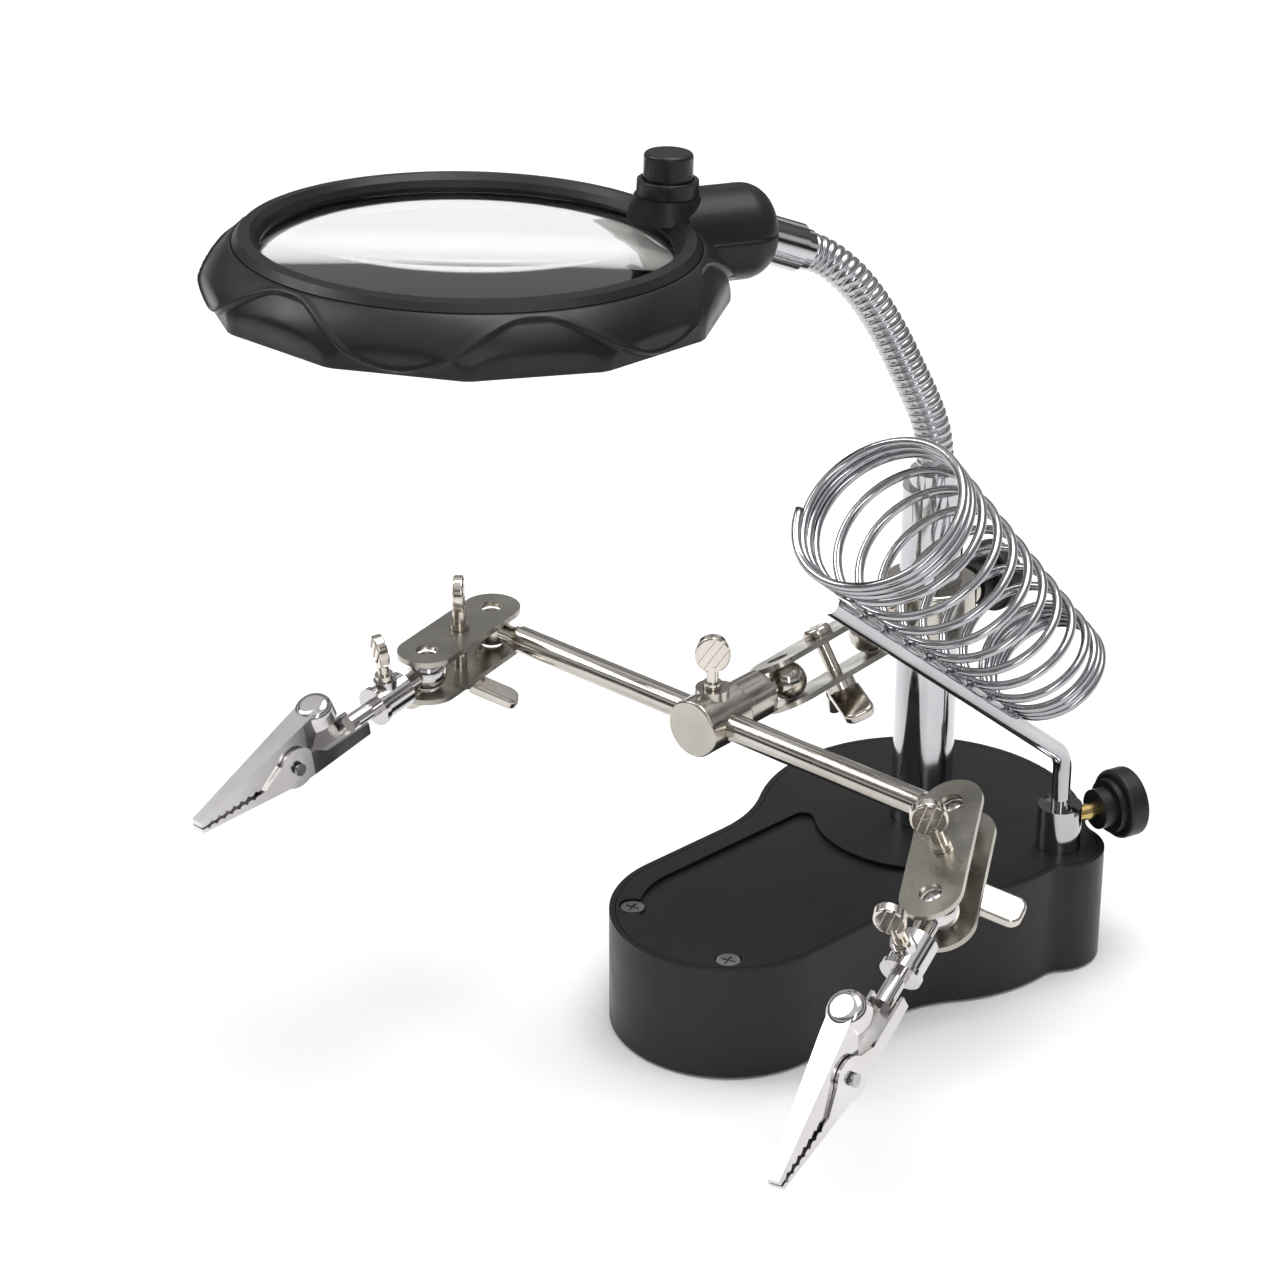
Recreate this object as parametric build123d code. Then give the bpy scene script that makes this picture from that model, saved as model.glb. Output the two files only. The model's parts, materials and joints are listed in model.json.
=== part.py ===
from build123d import *
import math
import os

# Helping hands clamp: weighted base, post, jointed arm with two clips, iron rest and
# a lit magnifier on a gooseneck.  Millimetres.  The origin is on the bench, on the
# post's axis; +Y runs from the front lobe to the back of the base, +Z is up.

# ---- base -----------------------------------------------------------------
BASE_TOP = 27.6
FOOT_H = 0.8
LOBE_GAP = 61.5
FRONT_R = 26.0
REAR_R = 37.5
WAIST_FILLET = 30.0
NOTCH_FILLET = 6.0
SOCKET_XY = (30.5, 12.5)
SOCKET_LOBE_R = 10.5
WALL = 2.2
COVER_T = 2.4
COVER_INSET = 1.3
GAP = 0.15
SCREW_X = 15.0
SCREW_Y = -LOBE_GAP - 14.5
BOSS_R = 3.0
SOCKET_R = 5.0
TRAY_ARC_R = 24.5
DOOR_W = 19.0
DOOR_Y0 = -74.0
DOOR_Y1 = -29.0
DOOR_TRAVEL = 4.6
BALLAST_FRONT_Y = -23.0
CELL_R = 5.2
CELL_LEN = 44.5
CELL_PITCH = 11.6
CELL_Z = 9.2
CELL_Y0 = -71.4
FEET = [(-24, 17, 5.0), (24, 17, 5.0), (-19.5, -18, 3.5), (19.5, -18, 3.5), (-10.8, -79, 2.8), (10.8, -79, 2.8)]
CENTRE_FOOT_R = 8.0

# ---- post and its collar --------------------------------------------------
POST_R = 6.9
POST_TOP = 110.0
COLLAR_Z = 81.5
COLLAR_R = 10.4
COLLAR_H = 12.0
RUN = 0.05
KNOB_R = 8.0

# ---- ball clamps ----------------------------------------------------------
BALL_R = 4.25
BALL_GAP = 25.0
PLATE_IN = 3.9
PLATE_T = 1.2
PLATE_HALF_W = 6.5
PLATE_HOLE_R = 2.4
NECK_R = 2.0
SCREW_R = 1.5
STUD_R = 1.3
SPADE_T = 2.4
LEAF_T = 2.4

# ---- cross bar ------------------------------------------------------------
BAR_R = 3.0
BAR_HALF = 56.0
BAR_YAW = 5.2
BALL_OFF = 9.0
TEE = (0.0, -67.0, 76.5)
TEE_R = 6.4
BAR_SHIFT = 0.25
BALL_A1 = (0.0, -19.7, 80.5)
BALL_A2 = (0.0, -44.5, 77.7)
ALONG_A = (0.0, -24.8, -2.8)
NORMAL_A = (-0.5, -0.1, 0.86)
CLAMPS = {
    "b": {"along": (0.268, -0.963, 0.0), "normal": (0, 0, 1), "clip": (0.078, -0.983, -0.164),
          "spade": 31, "wing": 122, "screw": 65},
    "c": {"along": (0.533, -0.796, -0.276), "normal": (-0.061, -0.42, 0.904),
          "clip": (0.223, -0.877, -0.425), "spade": 103, "wing": 77, "screw": 110},
}

# ---- clips ----------------------------------------------------------------
BARREL_R = 3.9
BARREL_START = 7.7
BARREL_END = 16.5
SHANK_R = 1.9
CLIP_LEN = 51.0
PIVOT_X = 25.5
PIVOT_Z = 0.8
JAW_T = 0.7
CUP_X = 17.5
CUP_Z = 8.9
CUP_R = 4.3
EAR_R = 4.6

# ---- iron rest ------------------------------------------------------------
ROD_R = 2.1
ROD_BEND_Z = 50.5
ROD_SLOPE = 39.4
ROD_RUN = 99.0
WIRE_R = 0.9
COIL_R1 = 18.0
COIL_R2 = 12.0
COIL_START = 19.0
CLOSE_PITCH = 2.15
OPEN_PITCH = 8.0
OPEN_TURNS = 8
CLOSE_TURNS = 3
ARCS_PER_TURN = 6
COIL_LEN = 2 * CLOSE_TURNS * CLOSE_PITCH + OPEN_TURNS * OPEN_PITCH
REST_KNOB_AXIS = (0.26, 0.9656, 0.0)
REST_KNOB_Z = 34.0

# ---- magnifier head -------------------------------------------------------
HEAD_AT = (-44.8, -93.8, 180.0)
HEAD_UP = (-0.027, 0.065, 0.9975)
HEAD_FWD = (0.30, 0.952, -0.054)
LENS_R = 44.5
GLASS_R = 42.0
RIM_R = 47.6
SKIRT_R = 54.6
SKIRT_H = 13.4
HANDLE_R = 10.2
HANDLE_Z = -6.0
HANDLE_END = 68.5
SPLIT_Z = -5.0
BUTTON_X = 44.8
BOSS_TOP = 4.6
HEAD_SCREW_X = 57.0
HEAD_SCREW_Y = 4.5
FACET_TURN = 30.0
BIFOCAL_XY = (18.0, -16.0)
BIFOCAL_R = 9.0

# ---- gooseneck ------------------------------------------------------------
HOSE_R = 4.1
HOSE_BORE = 2.6
HOSE_FOOT = 114.0
FERRULE_R = 5.3
FERRULE_ROOT = Vector(60.0, 0, -5.3)
FERRULE_DIR = Vector(0.94, 0.0, -0.34).normalized()
FERRULE_REACH = 19.2
NECK_A = (-5.6, -5.2, 139.0)
NECK_B = (-14.2, -12.6, 157.0)

parts = {}


def put(name, shape):
    parts[name] = shape


def unit(v):
    return Vector(*v).normalized()


def frame_at(origin, x_dir, up):
    """A frame whose X axis is exactly x_dir, with Z as near to up as that allows."""
    x_axis = unit(x_dir)
    z_axis = unit(up) - x_axis * x_axis.dot(unit(up))
    return Plane(origin=Vector(*origin), x_dir=x_axis, z_dir=z_axis.normalized()).location


def rod(r, length, start=(0, 0, 0), axis=(0, 0, 1)):
    """A solid cylinder that starts at a point and runs along a direction."""
    plane = Plane(origin=Vector(*start), z_dir=Vector(*axis).normalized())
    return plane.location * Cylinder(r, length, align=(Align.CENTER, Align.CENTER, Align.MIN))


def tube(outer, inner, length, start=(0, 0, 0), axis=(0, 0, 1)):
    return rod(outer, length, start, axis) - rod(inner, length, start, axis)


def box(x0, x1, y0, y1, z0, z1):
    size = (x1 - x0, y1 - y0, z1 - z0)
    return Pos((x0 + x1) / 2, (y0 + y1) / 2, (z0 + z1) / 2) * Box(*size)


# ---------------------------------------------------------------- the base
def base_outline(inset):
    """Plan of the base: two lobes, a waist between them and a small lobe at the socket."""
    front, rear = FRONT_R - inset, REAR_R - inset
    plan = Pos(0, -LOBE_GAP) * Circle(front)
    plan += Pos(0, -LOBE_GAP / 2) * Rectangle(2 * front, LOBE_GAP)
    plan += Circle(rear)
    waist = [v for v in plan.vertices() if -rear < v.Y < -10]
    plan = fillet(waist, WAIST_FILLET + inset)
    plan += Pos(*SOCKET_XY) * Circle(SOCKET_LOBE_R - inset)
    notch = [v for v in plan.vertices() if v.X > 27 and v.Y > -5]
    return fillet(notch, NOTCH_FILLET + inset)


def slab(inset, z0, z1):
    return extrude(Pos(0, 0, z0) * base_outline(inset), z1 - z0)


def make_base():
    outer = slab(0, FOOT_H, BASE_TOP)
    inner = slab(WALL, FOOT_H, BASE_TOP - COVER_T - 1.6)
    rim_cut = slab(COVER_INSET, BASE_TOP - COVER_T, BASE_TOP)
    ledge_cut = slab(COVER_INSET + 2.4, BASE_TOP - COVER_T - 2, BASE_TOP)
    shell = outer - inner - rim_cut - ledge_cut
    for x in (-SCREW_X, SCREW_X):
        shell += rod(BOSS_R, BASE_TOP - COVER_T - 6.0, (x, SCREW_Y, 6.0)) + box(x - 0.7, x + 0.7, SCREW_Y - 6, SCREW_Y, 6, 20)
        shell -= rod(1.3, 10, (x, SCREW_Y, BASE_TOP - 9.6))
    put("base_shell", shell)

    cover = slab(COVER_INSET + GAP, BASE_TOP - COVER_T + 0.02, BASE_TOP)
    cover -= rod(POST_R + 0.1, 10, (0, 0, BASE_TOP - 5))
    cover -= rod(SOCKET_R + 0.1, 10, (*SOCKET_XY, BASE_TOP - 5))
    tray = Pos(0, -LOBE_GAP) * Circle(FRONT_R - 6.5)
    tray += Pos(0, -LOBE_GAP / 2) * Rectangle(2 * (FRONT_R - 6.5), LOBE_GAP)
    tray -= Circle(TRAY_ARC_R)
    tray = fillet([v for v in tray.vertices() if v.Y > -LOBE_GAP / 2], 2.5)
    cover -= extrude(Pos(0, 0, BASE_TOP) * tray, -0.9)
    screws = []
    for x in (-SCREW_X, SCREW_X):
        cover -= rod(2.9, 1.6, (x, SCREW_Y, BASE_TOP - 1.4))
        cover -= rod(1.35, 6, (x, SCREW_Y, BASE_TOP - 5))
        head = rod(2.6, 1.0, (x, SCREW_Y, BASE_TOP - 1.38)) + rod(1.25, 9, (x, SCREW_Y, BASE_TOP - 9.5))
        for turn in (0, 90):
            slot = box(-1.6, 1.6, -0.25, 0.25, -0.5, 0.5)
            head -= Pos(x, SCREW_Y, BASE_TOP - 0.4) * Rot(0, 0, turn + 20) * slot
        screws.append(head)
    put("top_cover", cover)
    put("cover_screws", Compound(children=screws))

    floor = slab(WALL + GAP, FOOT_H + 0.2, FOOT_H + 2.8)
    hatch = box(-DOOR_W, DOOR_W, DOOR_Y0, DOOR_Y1 + DOOR_TRAVEL, -1, 9)
    groove = box(-DOOR_W - 1.4, DOOR_W + 1.4, DOOR_Y0, DOOR_Y1 + DOOR_TRAVEL, FOOT_H + 1.0, FOOT_H + 2.1)
    floor -= hatch + groove
    door = box(-DOOR_W + 0.2, DOOR_W - 0.2, DOOR_Y0 + 0.2, DOOR_Y1, FOOT_H + 0.2, FOOT_H + 2.0)
    door += box(-DOOR_W - 1.2, DOOR_W + 1.2, DOOR_Y0 + 0.2, DOOR_Y1, FOOT_H + 1.1, FOOT_H + 2.0)
    for k in range(5):
        y = DOOR_Y1 - 4 - 1.8 * k
        door -= box(-7, 7, y - 0.4, y + 0.4, FOOT_H, FOOT_H + 0.7)
    put("battery_door", door)

    feet = []
    for x, y, r in FEET + [(0, 0, CENTRE_FOOT_R)]:
        feet.append(rod(r, FOOT_H + 0.4, (x, y, 0)))
        floor -= rod(r + 0.1, 0.45, (x, y, FOOT_H))
    put("bottom_plate", floor)
    put("rubber_feet", Compound(children=feet))

    ballast = slab(WALL + 3.5, 4.6, 12.6)
    ballast -= box(-60, 60, -120, BALLAST_FRONT_Y, 0, 30) + rod(POST_R + 4.5, 30, (0, 0, 0))
    ballast -= rod(SOCKET_R + 0.6, 30, (*SOCKET_XY, 0))
    put("ballast_weight", ballast)

    cells = []
    for k in (-1, 0, 1):
        y = CELL_Y0
        cell = rod(CELL_R, CELL_LEN - 1.2, (k * CELL_PITCH, y, CELL_Z), (0, 1, 0))
        cell += rod(1.9, 1.2, (k * CELL_PITCH, y + CELL_LEN - 1.2, CELL_Z), (0, 1, 0))
        if k == 0:
            cell = Pos(0, 2 * y + CELL_LEN, 2 * CELL_Z) * Rot(180, 0, 0) * cell
        cells.append(cell)
    put("battery_cells", Compound(children=cells))
    contacts = []
    for y in (CELL_Y0 - 0.7, CELL_Y0 + CELL_LEN + 0.2):
        contacts.append(box(-17, 17, y, y + 0.5, CELL_Z - 4, CELL_Z + 4))
    put("battery_contacts", Compound(children=contacts))


# ---------------------------------------------------------------- post
def make_post():
    put("post_tube", tube(POST_R, POST_R - 1.3, POST_TOP - 6.0, (0, 0, 6.0)))
    nut = extrude(Pos(0, 0, 13.0) * RegularPolygon(POST_R + 3.6, 6), 4.0) - rod(POST_R + 0.02, 30)
    washer = tube(POST_R + 3.9, POST_R + 0.02, 1.0, (0, 0, BASE_TOP - COVER_T - 1.1))
    put("post_nut_and_washer", Compound(children=[nut, washer]))

    collar = rod(COLLAR_R, COLLAR_H, (0, 0, COLLAR_Z - COLLAR_H / 2))
    collar = fillet(collar.edges().filter_by(GeomType.CIRCLE), 0.8)
    collar += rod(4.2, COLLAR_R + 2.0, (0, 0, COLLAR_Z), (0, 1, 0))
    collar += rod(3.2, COLLAR_R + 1.6, (0, 0, BALL_A1[2]), (0, -1, 0))
    collar -= rod(POST_R + RUN, 40, (0, 0, COLLAR_Z - 20))
    collar -= rod(1.9, 30, (0, 0, COLLAR_Z), (0, 1, 0))
    put("post_collar", collar)
    put("collar_ball_stud", ball_stud(BALL_A1, (0, 1, 0), 7.6))
    make_knob("collar_knob", "collar_screw", (0, POST_R + 0.3, COLLAR_Z), (0, 1, 0), 6.2)


def ball_stud(centre, towards, length):
    """A ball with a short neck that runs from its centre towards the piece that holds it."""
    return Pos(*centre) * Sphere(BALL_R) + rod(NECK_R, length, centre, towards)


def make_knob(knob_name, screw_name, start, axis, reach):
    """A stepped moulded knob on a brass screw; the screw's tip is at start."""
    at = Vector(*start)
    direction = Vector(*axis).normalized()
    screw = rod(1.85, reach + 6.0, tuple(at), axis)
    put(screw_name, screw)
    hub_at = at + direction * reach
    knob = rod(4.6, 3.6, tuple(hub_at), axis)
    knob += rod(6.2, 2.2, tuple(hub_at + direction * 3.2), axis)
    disc_at = hub_at + direction * 4.8
    disc = rod(KNOB_R, 5.0, tuple(disc_at), axis)
    disc = fillet(disc.edges().filter_by(GeomType.CIRCLE), 0.9)
    knob += disc
    knob -= rod(1.85, 6.0, tuple(hub_at), axis)
    put(knob_name, knob)


# ---------------------------------------------------------------- clamp
def spade_screw(length, shank_r, head_w=7.6, head_h=8.4, neck=4.0):
    """A thumb screw: the shank runs down from z = 0 and the flat oval head stands above it."""
    head = extrude(Plane.XZ * (Pos(0, neck + head_h / 2) * Ellipse(head_w / 2, head_h / 2)), SPADE_T / 2, both=True)
    head = fillet(head.edges(), 0.5)
    for face in (-SPADE_T / 2, SPADE_T / 2):
        for across in (-2.2, 0, 2.2):
            head -= Pos(across, face, neck + head_h / 2) * Rot(0, 35, 0) * Box(0.7, 0.6, 2 * head_h)
    collar = rod(shank_r + 0.7, 1.2)
    return rod(shank_r, length + neck + 1.5, (0, 0, -length)) + collar + head


def wing_nut(hub_r=3.4, bore_r=1.55):
    """Hub above z = 0 hanging down, with two leaves that slope down and out."""
    hub = rod(hub_r, 3.4, (0, 0, -3.4)) - rod(bore_r, 5, (0, 0, -4))
    leaf = Pos(8.2, 0, 0) * Box(11.4, 7.0, LEAF_T)
    leaf = fillet(leaf.edges().filter_by(Axis.Z).sort_by(Axis.X)[-2:], 2.4)
    leaf = fillet(leaf.edges().group_by(Axis.Z)[0] + leaf.edges().group_by(Axis.Z)[-1], 0.8)
    leaf = Pos(0, 0, -1.9) * Rot(0, 26, 0) * leaf
    return hub + leaf + Rot(0, 0, 180) * leaf


def cap_screw(length, shank_r):
    """A low round-headed screw with a cross slot, for the clamp that has no room for a spade."""
    head = rod(shank_r + 1.7, 1.9)
    head = fillet(head.edges().filter_by(GeomType.CIRCLE).sort_by(Axis.Z)[-1:], 1.0)
    for turn in (0, 90):
        head -= Pos(0, 0, 1.9) * Rot(0, 0, turn) * Box(3.4, 0.5, 1.0)
    return head + rod(shank_r, length + 0.5, (0, 0, -length))


def clamp_plate(z0, z1):
    mid = BALL_GAP / 2
    outline = Pos(mid, 0) * SlotCenterToCenter(BALL_GAP, 2 * PLATE_HALF_W)
    outline -= Pos(0, 0) * Circle(PLATE_HOLE_R) + Pos(BALL_GAP, 0) * Circle(PLATE_HOLE_R)
    outline -= Pos(mid, 0) * Circle(SCREW_R + 0.06)
    return extrude(Pos(0, 0, z0) * outline, z1 - z0)


def make_clamp(tag, ball, along, normal, spade_turn, wing_turn):
    """Two slotted plates that grip a ball at each end, with a thumb screw and a wing nut."""
    at = frame_at(ball, along, normal)
    top = PLATE_IN + PLATE_T
    mid = BALL_GAP / 2
    put(f"clamp_{tag}_top_plate", at * clamp_plate(PLATE_IN, top))
    put(f"clamp_{tag}_bottom_plate", at * clamp_plate(-top, -PLATE_IN))
    if spade_turn is None:
        screw, spade_turn = cap_screw(2 * top + 4.4, SCREW_R), 0
    else:
        screw = spade_screw(2 * top + 4.4, SCREW_R)
    put(f"clamp_{tag}_thumb_screw", at * Pos(mid, 0, top + 0.1) * Rot(0, 0, spade_turn) * screw)
    put(f"clamp_{tag}_wing_nut", at * Pos(mid, 0, -top - 0.12) * Rot(0, 0, wing_turn) * wing_nut())
    return at


# ---------------------------------------------------------------- clips
def jaw_side(points, width):
    """A side profile of the clip, as a plate that is centred on the clip's middle plane."""
    return extrude(Plane.XZ * make_face(Polyline(*points, close=True)), width / 2, both=True)


def taper(half_back, half_tip):
    """A plan wedge along the clip that trims the jaws to a narrow tip."""
    pts = [(-30, half_back), (PIVOT_X - 4, half_back), (CLIP_LEN + 0.5, half_tip)]
    pts += [(x, -y) for x, y in reversed(pts)]
    return extrude(Pos(0, 0, -20) * make_face(Polyline(*pts, close=True)), 50)


def make_lower_jaw():
    side = [(5, -2.4), (PIVOT_X, -3.2), (CLIP_LEN, -0.9), (CLIP_LEN, 0.0), (PIVOT_X + 9, 0.0)]
    side += [(PIVOT_X + 4, 3.2), (PIVOT_X - 3, 3.4), (PIVOT_X - 8, 0.6), (5, 0.4)]
    ears = rod(EAR_R, 9.0, (PIVOT_X, -4.5, PIVOT_Z), (0, 1, 0))
    body = (jaw_side(side, 9.0) + ears) & taper(3.8, 1.6)
    side_in = [(3, -1.7), (PIVOT_X, -2.5), (CLIP_LEN - 0.8, -0.3), (CLIP_LEN - 0.8, 9), (3, 9)]
    body -= jaw_side(side_in, 9.0) & taper(3.8 - JAW_T, 1.6 - JAW_T)
    for k in range(7):
        x = CLIP_LEN - 1.6 - 2.0 * k
        body -= Pos(x, 0, 0.1) * Rot(0, 45, 0) * Box(0.9, 12, 0.9)
    body -= rod(0.95, 20, (PIVOT_X, -10, PIVOT_Z), (0, 1, 0))
    shank = rod(SHANK_R, 15.5, (-8.0, 0, 0), (1, 0, 0))
    return body + shank


def make_upper_jaw():
    half_b, half_t = 3.8 - JAW_T - 0.35, 1.4
    side = [(CUP_X - 1, 10.4), (CLIP_LEN, 1.6), (CLIP_LEN, 0.35), (PIVOT_X + 9.5, 0.35), (PIVOT_X + 7, -0.9)]
    side += [(PIVOT_X - 3, -0.9), (PIVOT_X - 5.5, 3.2), (CUP_X - 1, 8.6)]
    body = jaw_side(side, 9.0) & taper(half_b, half_t)
    inner = [(CUP_X - 3, 9.9), (CLIP_LEN - 0.8, 0.95), (CLIP_LEN - 0.8, -9), (CUP_X - 3, -9)]
    body -= jaw_side(inner, 9.0) & taper(half_b - JAW_T, half_t - JAW_T)
    for k in range(7):
        x = CLIP_LEN - 2.6 - 2.0 * k
        body -= Pos(x, 0, 0.35) * Rot(0, 45, 0) * Box(0.9, 12, 0.9)
    hood = rod(CUP_R, 4.6, (0, 0, -2.6))
    hood = fillet(hood.edges().filter_by(GeomType.CIRCLE).sort_by(Axis.Z)[-1:], 2.2)
    hood -= rod(CUP_R - JAW_T, 3.7, (0, 0, -2.7))
    body += Pos(CUP_X - 1.5, 0, CUP_Z) * Rot(0, 14, 0) * hood
    body -= rod(0.85, 20, (PIVOT_X, -10, PIVOT_Z), (0, 1, 0))
    return body


def make_clip(tag, ball2, direction, normal, spade_turn):
    """Barrel with its thumb screw, and the sprung two-jaw clip that it holds."""
    ball_at = frame_at(ball2, direction, normal)
    barrel = Sphere(BALL_R) + rod(NECK_R, BARREL_START + 1, (0, 0, 0), (1, 0, 0))
    barrel += rod(BARREL_R, BARREL_END - BARREL_START, (BARREL_START, 0, 0), (1, 0, 0))
    barrel += rod(BARREL_R + 0.5, 1.2, (BARREL_END - 1.2, 0, 0), (1, 0, 0))
    barrel += rod(2.5, 5.0, (BARREL_END - 4.4, 0, 0))
    barrel -= rod(SHANK_R + RUN, 8.6, (BARREL_END - 8.6, 0, 0), (1, 0, 0))
    barrel -= rod(STUD_R + 0.06, 9.0, (BARREL_END - 4.4, 0, 0))
    put(f"barrel_{tag}", ball_at * barrel)
    screw = spade_screw(2.9, STUD_R, 6.6, 7.6, 3.2)
    put(f"barrel_{tag}_thumb_screw", ball_at * Pos(BARREL_END - 4.4, 0, 5.1) * Rot(0, 0, spade_turn) * screw)
    mouth = ball_at * Pos(BARREL_END, 0, 0)
    put(f"clip_{tag}_lower_jaw", mouth * make_lower_jaw())
    put(f"clip_{tag}_upper_jaw", mouth * make_upper_jaw())
    pin = rod(0.8, 9.0, (PIVOT_X, -4.5, PIVOT_Z), (0, 1, 0))
    for y in (-4.5, 3.9):
        pin += rod(1.4, 0.6, (PIVOT_X, y, PIVOT_Z), (0, 1, 0))
    put(f"clip_{tag}_pivot_pin", mouth * pin)
    turns = [Pos(PIVOT_X, y, PIVOT_Z) * Rot(90, 0, 0) * Torus(1.45, 0.3) for y in (-1.4, -0.7, 0, 0.7, 1.4)]
    put(f"clip_{tag}_spring", Compound(children=[mouth * t for t in turns]))
    return ball_at


# ---------------------------------------------------------------- arm
def make_arm():
    make_clamp("a", BALL_A1, ALONG_A, NORMAL_A, None, 60)

    yaw = Pos(*TEE) * Rot(0, 0, BAR_YAW)
    body = rod(TEE_R, 13.0, (0, -6.7, 0), (0, 1, 0))
    body = fillet(body.edges().filter_by(GeomType.CIRCLE), 0.6)
    body += rod(5.2, 15.5, (0, 0, 0), (0, 1, 0))
    body += rod(3.6, 2.5, (0, 0, 5.0))
    body -= rod(BAR_R + RUN, 40, (-20, 0, 0), (1, 0, 0))
    body -= rod(STUD_R + 0.06, 12, (0, 0, 0))
    yaw_dir = Vector(0, 1, 0).rotate(Axis.Z, BAR_YAW)
    foot = Vector(*TEE) + yaw_dir * 15.5
    to_foot = foot - Vector(*BALL_A2)
    stud = ball_stud(BALL_A2, tuple(to_foot), to_foot.length)
    put("tee_ball_stud", stud)
    put("tee_holder", yaw * body - stud)
    put("tee_thumb_screw", yaw * Pos(0, 0, 7.6) * Rot(0, 0, 42) * spade_screw(4.4, STUD_R, 7.6, 8.4, 3.6))

    bar = rod(BAR_R, 2 * BAR_HALF, (-BAR_HALF + BAR_SHIFT, 0, 0), (1, 0, 0))
    for side in (-1, 1):
        end = side * BAR_HALF + BAR_SHIFT
        bar += Pos(end + side * BALL_OFF, 0, 0) * Sphere(BALL_R)
        bar += rod(NECK_R, BALL_OFF, (end, 0, 0), (side, 0, 0))
        bar += rod(BAR_R - 0.5, 1.6, (end, 0, 0), (side, 0, 0))
    put("cross_bar", yaw * bar)

    for tag, side in (("b", -1), ("c", 1)):
        at = Vector(*TEE) + Vector(1, 0, 0).rotate(Axis.Z, BAR_YAW) * (side * (BAR_HALF + BALL_OFF) + BAR_SHIFT)
        along, normal, clip_dir = CLAMPS[tag]["along"], CLAMPS[tag]["normal"], CLAMPS[tag]["clip"]
        make_clamp(tag, tuple(at), along, normal, CLAMPS[tag]["spade"], CLAMPS[tag]["wing"])
        ball2 = at + unit(along) * BALL_GAP
        make_clip(tag, tuple(ball2), clip_dir, normal, CLAMPS[tag]["screw"])


# ---------------------------------------------------------------- iron rest
def make_rest():
    x, y = SOCKET_XY
    socket = rod(SOCKET_R, 26.0, (x, y, 12.0)) - rod(ROD_R + RUN, 22.0, (x, y, 17.0))
    socket -= rod(1.9, 12, (x, y, REST_KNOB_Z), REST_KNOB_AXIS)
    socket -= box(x - 6, x + 6, y - 0.9, y + 0.9, 36.8, 40)
    put("rest_socket", socket)
    tip = Vector(x, y, REST_KNOB_Z) + Vector(*REST_KNOB_AXIS) * (ROD_R + 0.3)
    make_knob("rest_knob", "rest_screw", tuple(tip), REST_KNOB_AXIS, 7.2)

    slope = math.radians(ROD_SLOPE)
    end = (x, y - ROD_RUN * math.cos(slope), ROD_BEND_Z + ROD_RUN * math.sin(slope))
    path = FilletPolyline((x, y, 18.0), (x, y, ROD_BEND_Z), end, radius=7.0)
    put("rest_rod", sweep(Plane(origin=(x, y, 18.0), z_dir=(0, 0, 1)) * Circle(ROD_R), path=path))

    half_angle = math.atan((COIL_R1 - COIL_R2) / COIL_LEN)
    lift = ROD_R + WIRE_R + 0.08
    along = Vector(0, -math.cos(slope), math.sin(slope))
    away = Vector(0, math.sin(slope), math.cos(slope))
    foot = Vector(x, y, ROD_BEND_Z) + along * COIL_START + away * (lift + COIL_R2 * math.cos(half_angle))
    axis = (along * math.cos(half_angle) + away * math.sin(half_angle)).normalized()
    at = Plane(origin=foot, x_dir=(1, 0, 0), z_dir=axis).location
    put("rest_coil", at * coil_spring())


def coil_spring():
    """Conical wire coil: close turns, open turns, close turns, in arcs that meet end to end."""
    spans = [(CLOSE_TURNS, CLOSE_PITCH), (OPEN_TURNS, OPEN_PITCH), (CLOSE_TURNS, CLOSE_PITCH)]
    half_angle = math.degrees(math.atan((COIL_R1 - COIL_R2) / COIL_LEN))
    z, arcs = 0.0, []
    for turns, pitch in spans:
        for k in range(turns * ARCS_PER_TURN):
            radius = COIL_R2 + (COIL_R1 - COIL_R2) * z / COIL_LEN
            rise = pitch / ARCS_PER_TURN
            path = Helix(pitch=pitch, height=rise, radius=radius, cone_angle=half_angle)
            path = Pos(0, 0, z) * Rot(0, 0, 360 * k / ARCS_PER_TURN) * path
            arcs.append(sweep(Plane(origin=path @ 0, z_dir=path % 0) * Circle(WIRE_R), path=path, is_frenet=True))
            z += rise
    return Compound(children=arcs)


# ---------------------------------------------------------------- magnifier
def ring(points):
    return revolve(Plane.XZ * make_face(Polyline(*points, close=True)), Axis.Z)


def handle_solid(shrink):
    """Round handle with a domed end, about its own axis in the head's frame."""
    r, end = HANDLE_R - shrink, HANDLE_END - shrink
    body = rod(r, end - 34.0, (34.0, 0, HANDLE_Z), (1, 0, 0))
    return fillet(body.edges().filter_by(GeomType.CIRCLE).sort_by(Axis.X)[-1:], r * 0.62)


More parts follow.
